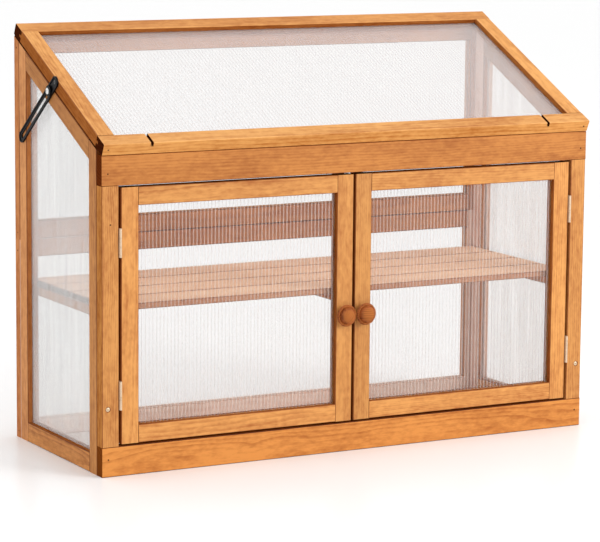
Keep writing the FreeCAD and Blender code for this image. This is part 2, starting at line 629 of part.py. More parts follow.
def build_stay():
    """Slotted arm with a raised rim, its pivot screw, the clamp screw and the flanged bush on it."""
    inner = STAY_STANDOFF
    outer = inner + STAY_THICKNESS
    floor = outer - STAY_SUNK
    slot_low = STAY_REST - SLOT_END_PLAY
    slot_high = STAY_REST + STAY_TRAVEL + SLOT_END_PLAY
    arm = stadium(0, STAY_CENTRES, STAY_WIDTH / 2, inner, outer)
    arm = arm.cut(stadium(0, STAY_CENTRES, STAY_WIDTH / 2 - STAY_RIM, floor, outer + STAY_SUNK))
    arm = arm.cut(stadium(slot_low, slot_high, SLOT_WIDTH / 2, 0, outer))
    arm = arm.cut(rod(FreeCAD.Vector(0, 0, 0), Z_AXIS, outer, SCREW_SHANK + HOLE_PLAY))
    pivot, along, across = stay_frame()
    nodes["stay_arm"] = seat(arm, pivot, along, across)
    outward = along.cross(across)
    nodes["stay_pivot_screw"] = round_screw(
        stay_point(0, floor), outward, PIVOT_HEAD, PIVOT_HEAD_HEIGHT, SCREW_SHANK, floor - FACE_GAP)
    washer_low = outer + FACE_GAP
    washer_high = washer_low + WASHER
    bush_radius = SLOT_WIDTH / 2 - BUSH_PLAY
    bush = rod(stay_point(STAY_REST, FACE_GAP), outward, washer_high - FACE_GAP, bush_radius)
    washer = rod(stay_point(STAY_REST, washer_low), outward, WASHER, WASHER_RADIUS)
    bore = rod(stay_point(STAY_REST, 0), outward, washer_high, CLAMP_SHANK + HOLE_PLAY)
    nodes["stay_clamp_bush"] = bush.fuse(washer).cut(bore).removeSplitter()
    clamp_low = washer_high + FACE_GAP
    nodes["stay_clamp_screw"] = round_screw(
        stay_point(STAY_REST, clamp_low), outward, CLAMP_HEAD, CLAMP_HEAD_HEIGHT, CLAMP_SHANK,
        clamp_low + CLAMP_REACH)


build_front_frame()
build_side_frames()
build_back_wall()
build_doors()
build_catches()
build_door_hinges()
build_lid()
build_lid_hinges()
build_shelf()
build_stay()

os.makedirs("parts", exist_ok=True)
for node, shape in nodes.items():
    shape.exportStep(f"parts/{node}.step")
print(f"{len(nodes)} sub-parts written")
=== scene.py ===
"""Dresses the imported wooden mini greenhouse: stained softwood, twin-wall sheet, steel fittings.

Metres, X to the right, Y to the back and Z up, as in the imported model.
"""

import logging
import math
import random
from dataclasses import dataclass, field, fields, replace
from enum import Enum
from functools import cache
from typing import Sequence, Union

import bpy
from mathutils import Euler, Matrix, Vector


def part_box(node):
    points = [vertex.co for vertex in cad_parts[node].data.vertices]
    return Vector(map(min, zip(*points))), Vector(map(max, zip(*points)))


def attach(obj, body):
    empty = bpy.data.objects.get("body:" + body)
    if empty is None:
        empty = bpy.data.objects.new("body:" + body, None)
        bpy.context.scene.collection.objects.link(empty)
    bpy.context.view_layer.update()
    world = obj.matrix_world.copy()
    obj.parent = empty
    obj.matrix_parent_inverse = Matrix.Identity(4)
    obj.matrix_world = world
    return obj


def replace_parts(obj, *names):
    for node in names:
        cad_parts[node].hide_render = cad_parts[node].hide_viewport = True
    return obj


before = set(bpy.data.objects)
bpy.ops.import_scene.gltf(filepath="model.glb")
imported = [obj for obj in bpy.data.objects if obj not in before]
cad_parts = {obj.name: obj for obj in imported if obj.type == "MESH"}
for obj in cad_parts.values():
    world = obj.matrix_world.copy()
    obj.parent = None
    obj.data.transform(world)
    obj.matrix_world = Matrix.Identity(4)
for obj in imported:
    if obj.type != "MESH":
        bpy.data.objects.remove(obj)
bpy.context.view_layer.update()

LOG = logging.getLogger("greenhouse")

Colour = tuple[float, float, float]
Socket = bpy.types.NodeSocket
Tree = bpy.types.NodeTree
Piece = bpy.types.Object
Value = Union[Socket, float, Sequence[float]]
Inputs = dict[Union[int, str], Value]

PITCH = math.radians(25.5)
UP_SLOPE = Vector((0.0, math.cos(PITCH), math.sin(PITCH)))
OFF_SLOPE = Vector((0.0, -math.sin(PITCH), math.cos(PITCH)))
LEFT = Vector((-1.0, 0.0, 0.0))
RIGHT = Vector((1.0, 0.0, 0.0))
FORWARD = Vector((0.0, -1.0, 0.0))
BACKWARD = Vector((0.0, 1.0, 0.0))
UPWARD = Vector((0.0, 0.0, 1.0))

LID_HINGE_OFFSET = 0.29
HINGE_SCREW_STEPS = (-0.02, 0.0, 0.02)


class Side(Enum):
    """The two sides of the greenhouse, with the sign of X on each."""

    LEFT = -1
    RIGHT = 1

    @property
    def label(self) -> str:
        """The side's name as the nodes use it."""
        return self.name.lower()


class Grain(Enum):
    """How a board's fibres run, as the turn that lays them along X."""

    ALONG_X = (0.0, 0.0, 0.0)
    ALONG_Y = (0.0, 0.0, -math.pi / 2)
    ALONG_Z = (0.0, math.pi / 2, 0.0)
    UP_SLOPE = (-PITCH, 0.0, -math.pi / 2)

    @property
    def turn(self) -> Matrix:
        """The turn as a matrix."""
        return Euler(self.value).to_matrix()


class Graph:
    """A node tree while it is drawn up."""

    def __init__(self, tree: Tree) -> None:
        """Starts on a tree."""
        self.tree = tree

    def feed(self, socket: Socket, value: Value) -> None:
        """Links a socket to another, or sets its value.

        Args:
            socket: The input to feed.
            value: An output socket, a number or a sequence.
        """
        if isinstance(value, Socket):
            self.tree.links.new(value, socket)
        elif socket.type == "RGBA":
            socket.default_value = (*value, 1.0)
        else:
            socket.default_value = value

    def add(self, kind: str, inputs: Inputs | None = None, **settings: object) -> bpy.types.Node:
        """Adds a node.

        Args:
            kind: The node's class name.
            inputs: What its inputs get, by name or number.
            settings: Attributes to set on it.

        Returns:
            The new node.
        """
        node = self.tree.nodes.new(kind)
        for key, value in settings.items():
            setattr(node, key, value)
        for key, value in (inputs or {}).items():
            self.feed(node.inputs[key], value)
        return node

    def call(self, kind: str, inputs: Inputs | None = None, **settings: object) -> Socket:
        """The first output of a new node, which takes what add takes."""
        return self.add(kind, inputs, **settings).outputs[0]

    def math(self, operation: str, *values: Value) -> Socket:
        """One Math node's result, from the operation's name and its operands."""
        return self.call("ShaderNodeMath", dict(enumerate(values)), operation=operation)

    def plus(self, *values: Value) -> Socket:
        """The sum of some numbers."""
        total = values[0]
        for value in values[1:]:
            total = self.math("ADD", total, value)
        return total

    def times(self, first: Value, second: Value) -> Socket:
        """The product of two numbers."""
        return self.math("MULTIPLY", first, second)

    def minus(self, first: Value, second: Value) -> Socket:
        """The difference of two numbers."""
        return self.math("SUBTRACT", first, second)

    def vector(self, operation: str, *values: Value) -> Socket:
        """One Vector Math node's result, a number for LENGTH and DOT_PRODUCT."""
        node = self.add("ShaderNodeVectorMath", dict(enumerate(values)), operation=operation)
        return node.outputs["Value" if operation in ("LENGTH", "DOT_PRODUCT") else "Vector"]

    def scaled(self, vector: Value, factors: Value) -> Socket:
        """A vector times a number for each axis."""
        return self.vector("MULTIPLY", vector, factors)

    def xyz(self, **parts: Value) -> Socket:
        """A vector from its parts, named X, Y and Z."""
        return self.call("ShaderNodeCombineXYZ", parts)

    def split(self, vector: Value) -> bpy.types.bpy_prop_collection:
        """The parts of a vector, named X, Y and Z."""
        return self.add("ShaderNodeSeparateXYZ", {0: vector}).outputs

    def step(self, value: Value, low: float, high: float, start: Value = 0.0, end: Value = 1.0) -> Socket:
        """A smooth step of a value between low and high, from start to end."""
        inputs = dict(enumerate((value, low, high, start, end)))
        return self.call("ShaderNodeMapRange", inputs, interpolation_type="SMOOTHSTEP")

    def noise(self, place: Value, scale: Value = 1.0, detail: float = 2.0, rough: float = 0.5) -> Socket:
        """Noise as a number. Detail counts its finer layers, and rough is how strong they are."""
        inputs = {"Vector": place, "Scale": scale, "Detail": detail, "Roughness": rough}
        return self.call("ShaderNodeTexNoise", inputs)

    def sway(self, place: Value, stretch: Colour) -> Socket:
        """Noise as a vector about nought, by the pattern's scale on each axis."""
        inputs = {"Vector": self.scaled(place, stretch), "Scale": 1.0, "Detail": 2.0, "Roughness": 0.5}
        return self.vector("SUBTRACT", self.add("ShaderNodeTexNoise", inputs).outputs["Color"], (0.5, 0.5, 0.5))

    def mix(self, factor: Value, first: Value, second: Value) -> Socket:
        """Two colours mixed, by the second one's share."""
        inputs = {0: factor, 6: first, 7: second}
        return self.add("ShaderNodeMix", inputs, data_type="RGBA", clamp_factor=True).outputs[2]


class Group(Graph):
    """A node group, from its named inputs to its named outputs."""

    def __init__(self, name: str, inputs: dict[str, Sequence[str]], outputs: dict[str, Sequence[str]],
                 kind: str = "ShaderNodeTree") -> None:
        """Opens the group.

        Args:
            name: The group's name.
            inputs: The inputs' names, by type of socket.
            outputs: The outputs' names, by type of socket.
            kind: The tree's class name.
        """
        super().__init__(bpy.data.node_groups.new(name, kind))
        for way, sockets in (("INPUT", inputs), ("OUTPUT", outputs)):
            for socket, labels in sockets.items():
                for label in labels:
                    self.tree.interface.new_socket(label, in_out=way, socket_type=f"NodeSocket{socket}")
        self.given = self.add("NodeGroupInput").outputs
        self.made = self.add("NodeGroupOutput").inputs

    def close(self, **results: Socket) -> Tree:
        """Feeds the named outputs and gives the finished tree."""
        for label, socket in results.items():
            self.feed(self.made[label], socket)
        return self.tree


@cache
def softwood_group() -> Tree:
    """Stained softwood: growth rings, streaks, fibres, pores, blotches of stain, knots, dark end grain, and painted
    shade on the narrow edges and arrises.

    Returns:
        The shader group. Its place runs along the fibres in X.
    """
    graph = Group(
        "stained_softwood",
        {"Vector": ("Place", "Facing", "Pith", "Knot"), "Color": ("Pale", "Deep", "End"),
         "Float": ("Ring Width", "Contrast", "Streaks", "Mottle", "Blotch", "Knot Size", "Broad", "Edge Shade",
                   "Arris Shade")},
        {"Color": ("Colour",), "Float": ("Roughness", "Varnish", "Height")})
    given = graph.given
    place, knot_size = given["Place"], given["Knot Size"]
    plus, minus, times, step = graph.plus, graph.minus, graph.times, graph.step

    math_node, vector, scaled, mix = graph.math, graph.vector, graph.scaled, graph.mix

    def layer(spot: Value, along: float, across: float, detail: float = 2.0) -> Socket:
        """Noise drawn out along the fibres."""
        return graph.noise(scaled(spot, (along, across, across)), 1.0, detail, 0.55)

    def swing(value: Value, strength: Value) -> Socket:
        """A value's distance from its middle, times a strength."""
        return times(minus(value, 0.5), strength)

    # the rings' wandering about the pith, and the knot that pushes them aside
    knot_stretch, least_knot, whorls = (0.42, 1.0, 1.0), 0.0001, 9.0
    bend = graph.sway(place, (1.6, 13.0, 13.0))
    ripple = graph.sway(place, (9.0, 26.0, 26.0))
    wander = vector("ADD", scaled(bend, (0.0, 0.030, 0.030)), scaled(ripple, (0.0, 0.007, 0.007)))
    curly = vector("ADD", place, scaled(ripple, (0.004, 0.006, 0.006)))
    from_knot = scaled(vector("SUBTRACT", place, given["Knot"]), knot_stretch)
    reach = math_node("DIVIDE", vector("LENGTH", from_knot), math_node("MAXIMUM", knot_size, least_knot))
    push = math_node("DIVIDE", knot_size, plus(1.0, math_node("POWER", reach, 3.0)))
    from_pith = vector("SUBTRACT", vector("ADD", place, wander), given["Pith"])
    radius = plus(vector("LENGTH", scaled(from_pith, (0.0, 1.0, 1.0))), push)
    phase = math_node("DIVIDE", radius, given["Ring Width"])
    ring = math_node("FRACT", phase)
    year = graph.call("ShaderNodeTexWhiteNoise", {"W": math_node("FLOOR", phase)}, noise_dimensions="1D")
    late = times(step(ring, 0.30, 0.9), step(ring, 0.93, 1.0, 1.0, 0.0))
    late = times(late, plus(0.3, times(year, 0.7)))

    # the grain, from broad clouds of stain down to single pores
    cloud = layer(place, 5.0, 24.0, 3.0)
    streak = layer(curly, 13.0, 210.0)
    mottle = layer(curly, 55.0, 115.0)
    fleck = layer(curly, 110.0, 330.0, 1.0)
    fibre = layer(place, 30.0, 900.0, 3.0)
    pore = step(layer(place, 55.0, 1900.0, 1.0), 0.6, 0.74)
    grain = plus(0.22, times(late, given["Contrast"]), swing(fibre, 0.5), times(pore, 0.16),
                 swing(streak, given["Streaks"]), swing(mottle, given["Mottle"]),
                 swing(fleck, times(given["Mottle"], 0.5)), swing(cloud, given["Blotch"]))
    colour = mix(grain, given["Pale"], given["Deep"])
    core = times(step(reach, 0.25, 0.55, 1.0, 0.0), step(knot_size, 0.0005, 0.001))
    heart = mix(times(math_node("FRACT", times(reach, whorls)), 0.6), given["Deep"], given["End"])
    colour = mix(times(core, 0.75), colour, heart)

    # end grain, and painted shade on the arrises and narrow edge faces, which takes blue more than red
    facing = graph.split(vector("ABSOLUTE", given["Facing"]))
    end = step(facing["X"], 0.6, 0.85)
    # painted shade on the arrises: dark lines in the joints between boards and under the base, with darker stain on
    # the eased edges
    squarest = math_node("MAXIMUM", facing["X"], math_node("MAXIMUM", facing["Y"], facing["Z"]))
    arris = times(step(squarest, 0.80, 0.95, 1.0, 0.0), given["Arris Shade"])
    # painted shade on the narrow edge faces, for the shade in recesses and on faces turned from the lamps
    broad = step(given["Broad"], 0.2, 0.8)
    edge = times(minus(1.0, broad), given["Edge Shade"])
    light = times(minus(1.0, arris), minus(1.0, edge))
    powers, darkest = {"X": 1.0, "Y": 1.5, "Z": 1.8}, (0.022, 0.004, 0.001)
    shade = graph.xyz(**{axis: math_node("POWER", light, power) for axis, power in powers.items()})
    cut = mix(plus(times(late, 0.5), times(fibre, 0.3)), given["End"], darkest)
    return graph.close(
        Colour=mix(end, scaled(colour, shade), cut),
        Roughness=plus(plus(0.46, times(fibre, 0.16)), times(end, 0.30)),
        Varnish=times(minus(1.0, end), times(broad, 0.44)),
        Height=minus(times(fibre, 0.5), plus(times(late, 0.4), times(pore, 0.5))))


@cache
def fluted_group() -> Tree:
    """How milky twin-wall sheet is: a thin film on its skins, more on its ribs, each rib a little different. The
    skins' colour holds painted shade face-on and painted sheen at a slant.

    Returns:
        The shader group. X runs across the flutes.
    """
    graph = Group(
        "fluted_sheet",
        {"Vector": ("Place",), "Color": ("Grey", "White", "Rib White"),
         "Float": ("Slant", "Rib", "Tone", "Skin Film", "Slant Film", "Rib Film", "Streaks")},
        {"Color": ("Colour",), "Float": ("Alpha", "Roughness", "Height")})
    given, plus, times = graph.given, graph.plus, graph.times
    clearest, milkiest = 0.004, 0.9
    drift = graph.noise(graph.scaled(given["Place"], (1.0, 0.06, 1.0)), 85.0, 1.0)
    draw = graph.noise(graph.scaled(given["Place"], (1.0, 0.02, 1.0)), 420.0, 1.0)
    slant = graph.math("POWER", given["Slant"], 2.0)
    film = plus(given["Skin Film"], times(slant, given["Slant Film"]),
                times(graph.minus(plus(drift, draw), 1.0), given["Streaks"]))
    rib = times(given["Rib Film"], plus(0.88, times(given["Tone"], 0.24)))
    pick = graph.call("ShaderNodeMix", {0: given["Rib"], 2: film, 3: rib}, data_type="FLOAT")
    # painted light: the skins grey face-on as painted shade for the dim inside, white at a slant as painted sheen
    skin = graph.mix(graph.step(given["Slant"], 0.15, 0.45), given["Grey"], given["White"])
    return graph.close(
        Colour=graph.mix(given["Rib"], skin, given["Rib White"]),
        Alpha=graph.math("MINIMUM", graph.math("MAXIMUM", pick, clearest), milkiest),
        Roughness=plus(0.12, times(drift, 0.16)), Height=draw)


@cache
def wear_group() -> Tree:
    """Fine specks and handling marks for metal and plastic.

    Returns:
        The shader group.
    """
    graph = Group(
        "handling_wear",
        {"Vector": ("Place",), "Float": ("Speck Size", "Base", "Spread"), "Color": ("Fresh", "Worn")},
        {"Color": ("Colour",), "Float": ("Roughness", "Height")})
    given, size = graph.given, graph.given["Speck Size"]
    fine = graph.noise(given["Place"], graph.math("DIVIDE", 1.0, size), 3.0, 0.6)
    coarse = graph.noise(given["Place"], graph.math("DIVIDE", 0.12, size))
    wear = graph.times(graph.step(fine, 0.45, 0.75), graph.step(coarse, 0.35, 0.7))
    return graph.close(
        Colour=graph.mix(wear, given["Fresh"], given["Worn"]),
        Roughness=graph.plus(given["Base"], graph.times(graph.minus(fine, 0.5), given["Spread"])), Height=fine)


def traits(part: object) -> dict[str, object]:
    """A dataclass's values, by the names that sockets have: Knot Size for knot_size."""
    return {item.name.replace("_", " ").title(): getattr(part, item.name) for item in fields(part)}


def points_of(node: str) -> list[Vector]:
    """The vertices of a CAD node."""
    return [vertex.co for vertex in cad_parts[node].data.vertices]


def middle_of(node: str) -> Vector:
    """The middle of a node's box."""
    low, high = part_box(node)
    return (low + high) / 2


class Surface(Graph):
    """A material with one Principled shader. TARGETS says which of its sockets each output of a group feeds."""

    TARGETS = {"Colour": "Base Color", "Roughness": "Roughness", "Alpha": "Alpha", "Varnish": "Coat Weight"}

    def __init__(self, name: str) -> None:
        """Opens the material by its name."""
        self.material = bpy.data.materials.new(name)
        self.material.use_nodes = True
        super().__init__(self.material.node_tree)
        self.shader = self.tree.nodes["Principled BSDF"]

    def lay(self, group: Tree, values: Inputs, strength: float, depth: float, constants: Inputs) -> bpy.types.Material:
        """Feeds the shader from a shared group, whose height stirs the normal.

        Args:
            group: The shared group.
            values: What its inputs get, and more that it may not ask for.
            strength: The bump's strength.
            depth: The bump's depth in metres.
            constants: What is the same all over, by the shader's sockets.

        Returns:
            The material.
        """
        node = self.add("ShaderNodeGroup", node_tree=group)
        for socket in node.inputs:
            self.feed(socket, values[socket.name])
        look = node.outputs
        for label, target in self.TARGETS.items():
            if label in look:
                self.feed(self.shader.inputs[target], look[label])
        bump = self.call("ShaderNodeBump", {"Strength": strength, "Distance": depth, "Height": look["Height"]})
        self.feed(self.shader.inputs["Normal"], bump)
        for label, value in constants.items():
            self.feed(self.shader.inputs[label], value)
        return self.material

    def coordinates(self) -> bpy.types.bpy_prop_collection:
        """The outputs of a Texture Coordinate node."""
        return self.add("ShaderNodeTexCoord").outputs

    def attribute(self, name: str, output: str = "Fac") -> Socket:
        """A number or a vector that the mesh carries by name."""
        return self.add("ShaderNodeAttribute", attribute_name=name).outputs[output]


@dataclass(frozen=True)
class Knot:
    """A knot in a board, by its place from the board's middle along and across the fibres."""

    along: float
    across: Vector
    size: float


@dataclass(frozen=True)
class WoodFinish:
    """One tone of stained softwood. Painted veil tones give its inner and upper faces paler tones, where they differ:
    painted light for the milky veil of the sheets in front of them.
    """

    name: str
    pale: Colour
    deep: Colour
    end: Colour
    ring_width: float = 0.0042
    contrast: float = 0.40
    streaks: float = 0.6
    mottle: float = 1.1
    blotch: float = 1.6
    # painted shade on the narrow edge faces
    edge_shade: float = 0.55
    # on the arrises, painted shade in the joints together with darker stain
    arris_shade: float = 0.5
    bleached: tuple[Colour, Colour] | None = None
    log_reach: tuple[float, float] = (-3.0, 3.0)
    pith_reach: tuple[float, float] = (0.022, 0.09)
    ring_vary: tuple[float, float] = (0.8, 1.25)
    next_board: Colour = (0.37, 0.11, 0.023)

    def on_board(self, label: str, grain: Grain, broad: Vector, middle: Vector, knot: Knot | None = None,
                 per_solid: str = "", tint: float = 1.0) -> bpy.types.Material:
        """The finish laid on one board.

        Args:
            label: The board's name, which also seeds its place in the log.
            grain: How its fibres run.
            broad: The direction that its broad faces look in.
            middle: The board's middle.
            knot: A knot to draw, if the board shows one.
            per_solid: An attribute that tells the board's solids apart.
            tint: How much lighter this board is than the others.

        Returns:
            The material.
        """
        dice = random.Random(label)
        surface = Surface(f"{self.name}.{label}")
        start = Vector((dice.uniform(*self.log_reach), 0, 0))
        coordinates = surface.coordinates()
        normal = coordinates["Normal"]
        place = surface.call("ShaderNodeMapping", {
            "Vector": coordinates["Object"], "Rotation": grain.value,
            "Location": start - grain.turn @ middle}, vector_type="POINT")
        facing = surface.call("ShaderNodeMapping", {"Vector": normal, "Rotation": grain.value}, vector_type="VECTOR")
        if per_solid:
            own = surface.scaled(surface.attribute(per_solid, "Vector"), self.next_board)
            place = surface.vector("ADD", place, own)
        around = dice.uniform(0, 2 * math.pi)
        off = dice.uniform(*self.pith_reach)
        pale, deep = (tuple(part * tint for part in tone) for tone in (self.pale, self.deep))
        # painted light: the inner and upper faces, seen through the milky sheets, drawn paler as if veiled
        if self.bleached:
            inner = surface.step(surface.vector("DOT_PRODUCT", normal, broad + UPWARD), 0.4, 0.7)
            pale, deep = (surface.mix(inner, tone, painted_veil) for tone, painted_veil in zip((pale, deep), self.bleached))
        return surface.lay(softwood_group(), traits(self) | {
            "Place": place, "Facing": facing, "Pith": (0.0, off * math.cos(around), off * math.sin(around)),
            "Ring Width": self.ring_width * dice.uniform(*self.ring_vary), "Pale": pale, "Deep": deep,
            "Broad": surface.math("ABSOLUTE", surface.vector("DOT_PRODUCT", normal, broad)),
            "Knot": start + Vector((knot.along, 0, 0)) + knot.across if knot else (0, 0, 0),
            "Knot Size": knot.size if knot else 0.0,
        }, strength=0.35, depth=0.0003, constants={"Coat Roughness": 0.52, "Specular IOR Level": 0.0})

    def dress(self, node: str, grain: Grain, broad: Vector, knot: Knot | None = None, tint: float = 1.0) -> None:
        """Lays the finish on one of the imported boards, as on_board does."""
        dress(node, self.on_board(node, grain, broad, middle_of(node), knot, tint=tint))


@dataclass(frozen=True)
class SheetFinish:
    """Clear, slightly milky twin-wall sheet."""

    name: str
    # grey face-on is painted shade, white at a slant is painted sheen
    grey: Colour = (0.42, 0.41, 0.41)
    white: Colour = (0.91, 0.89, 0.885)
    rib_white: Colour = (0.91, 0.89, 0.885)
    skin_film: float = 0.025
    slant_film: float = 0.45
    rib_film: float = 0.17
    streaks: float = 0.004

    def material(self, label: str, across: Vector, along: Vector) -> bpy.types.Material:
        """The finish on one sheet.

        Args:
            label: The sheet's name.
            across: The direction across its flutes.
            along: The direction along its flutes.

        Returns:
            The material.
        """
        surface = Surface(f"{self.name}.{label}")
        spot = surface.coordinates()["Object"]
        axes = {"X": across, "Y": along, "Z": across.cross(along)}
        place = surface.xyz(**{axis: surface.vector("DOT_PRODUCT", spot, way) for axis, way in axes.items()})
        slant = surface.add("ShaderNodeLayerWeight", {"Blend": 0.5}).outputs["Facing"]
        surface.material.blend_method = "BLEND"
        return surface.lay(fluted_group(), traits(self) | {
            "Place": place, "Slant": slant, "Rib": surface.attribute("rib"), "Tone": surface.attribute("tone"),
        }, strength=0.05, depth=0.0002, constants={"IOR": 1.5})


@dataclass(frozen=True)
class HardFinish:
    """Painted, plated or moulded fittings."""

    name: str
    fresh: Colour
    worn: Colour
    metallic: float
    roughness: float
    spread: float = 0.15
    speck_size: float = 0.0012
    specular: float = 0.5

    def material(self) -> bpy.types.Material:
        """A new material of this finish."""
        surface = Surface(self.name)
        values = traits(self) | {"Place": surface.coordinates()["Object"], "Base": self.roughness}
        return surface.lay(wear_group(), values, strength=0.15, depth=0.0001, constants={
            "Metallic": self.metallic, "Specular IOR Level": self.specular})


SIDE_END = (0.070, 0.018, 0.005)
HONEY_END = (0.085, 0.022, 0.006)
LID_END = (0.055, 0.011, 0.003)

HONEY = WoodFinish("honey_softwood", (0.68, 0.305, 0.084), (0.38, 0.115, 0.023), HONEY_END)
STILE_HONEY = WoodFinish("stile_softwood", (0.60, 0.266, 0.072), (0.325, 0.098, 0.020), HONEY_END, edge_shade=0.1)
RUSSET = WoodFinish(
    "russet_softwood", (0.54, 0.205, 0.045), (0.31, 0.086, 0.013), (0.14, 0.028, 0.005), contrast=0.36)
# strong painted shade on the arrises, a dark line where the plinth meets the floor
PLINTH_AMBER = WoodFinish(
    "plinth_softwood", (0.66, 0.255, 0.054), (0.38, 0.110, 0.016), (0.23, 0.060, 0.009), contrast=0.5,
    arris_shade=0.85)
LID_HONEY = WoodFinish(
    "lid_softwood", (0.76, 0.385, 0.122), (0.47, 0.172, 0.038), LID_END, edge_shade=0.08, arris_shade=0.35)
# painted shade on the edge faces of the lid's back rail and stiles
LID_EDGED = WoodFinish("lid_edged_softwood", (0.72, 0.345, 0.104), (0.44, 0.152, 0.032), LID_END, edge_shade=0.48)
# painted shade on the side boards' edge faces and arrises
SIDE_TAN = WoodFinish(
    "side_softwood", (0.56, 0.240, 0.068), (0.29, 0.092, 0.022), SIDE_END, contrast=0.5, edge_shade=0.4,
    arris_shade=0.7)
# the rear stiles' inner and upper faces get paler tones, painted light for the sheets' milky veil
SIDE_REAR = WoodFinish(
    "side_rear_softwood", (0.72, 0.318, 0.108), (0.40, 0.138, 0.040), SIDE_END, contrast=0.5, edge_shade=0.3,
    arris_shade=0.7, bleached=((0.84, 0.58, 0.47), (0.66, 0.38, 0.29)))
SIDE_UMBER = WoodFinish("side_dark_softwood", (0.49, 0.205, 0.057), (0.26, 0.082, 0.019), SIDE_END, contrast=0.5)
# painted shade on the slats' edges and arrises, for dark lines in the gaps between slats
SHELF_PALE = WoodFinish(
    "shelf_softwood", (0.95, 0.615, 0.405), (0.76, 0.405, 0.225), (0.13, 0.045, 0.016), edge_shade=0.45,
    arris_shade=0.6)
# painted shade on the arrises, for the dark seams between the back boards
BACK_BROWN = WoodFinish(
    "back_softwood", (0.56, 0.235, 0.092), (0.34, 0.112, 0.038), SIDE_END, edge_shade=0.0, arris_shade=0.75)
# the faces of these back boards seen through the doors get painted light, paler as under the sheets' milky veil
BACK_PALE = replace(
    BACK_BROWN, name="back_bleached_softwood", arris_shade=0.2,
    bleached=((0.91, 0.72, 0.62), (0.78, 0.54, 0.44)))
# painted shade on the knob's rim and neck, where its faces turn from the front
KNOB_BROWN = WoodFinish(
    "knob_wood", (0.54, 0.180, 0.050), (0.20, 0.052, 0.012), (0.50, 0.165, 0.046), ring_width=0.0028,
    contrast=0.6, mottle=1.8, edge_shade=0.45, arris_shade=0.25)

DOOR_SHEET = SheetFinish("door_twin_wall", rib_white=(0.95, 0.885, 0.85), rib_film=0.20)
BACK_SHEET = SheetFinish("back_twin_wall", rib_film=0.05)
SIDE_SHEET = SheetFinish(
    "side_twin_wall", white=(0.79, 0.805, 0.80), skin_film=0.024, rib_film=0.12, streaks=0.25)
LID_SHEET = SheetFinish(
    "lid_twin_wall", white=(0.765, 0.745, 0.74), rib_white=(0.93, 0.92, 0.915), skin_film=0.024, slant_film=0.33,
    rib_film=0.14)

ZINC = HardFinish("bright_zinc", (0.86, 0.86, 0.85), (0.62, 0.62, 0.60), 0.8, 0.28)
HINGE_STEEL = HardFinish(
    "hinge_steel", (0.66, 0.50, 0.35), (0.46, 0.31, 0.18), 0.35, 0.42, specular=0.3, speck_size=0.003)
BLACK_STEEL = HardFinish(
    "black_painted_steel", (0.004, 0.004, 0.005), (0.010, 0.009, 0.008), 0.0, 0.35, specular=0.07)
DULL_STEEL = HardFinish("dull_steel", (0.10, 0.10, 0.10), (0.05, 0.05, 0.05), 0.5, 0.35)
TARNISHED = HardFinish(
    "tarnished_zinc", (0.66, 0.50, 0.33), (0.30, 0.19, 0.10), 0.4, 0.38, specular=0.4, speck_size=0.0009)
NAIL_STEEL = HardFinish(
    "dark_nail", (0.06, 0.020, 0.006), (0.10, 0.035, 0.012), 0.0, 0.6, specular=0.08, speck_size=0.0006)
BROWN_PLASTIC = HardFinish("brown_plastic", (0.16, 0.07, 0.03), (0.19, 0.09, 0.045), 0.0, 0.4)


def dress(node: str, material: bpy.types.Material) -> None:
    """Puts a material on a CAD node.

    Args:
        node: The node's name.
        material: The material for all its faces.
    """
    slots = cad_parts[node].data.materials
    if not slots:
        slots.append(material)
    for index in range(len(slots)):
        slots[index] = material


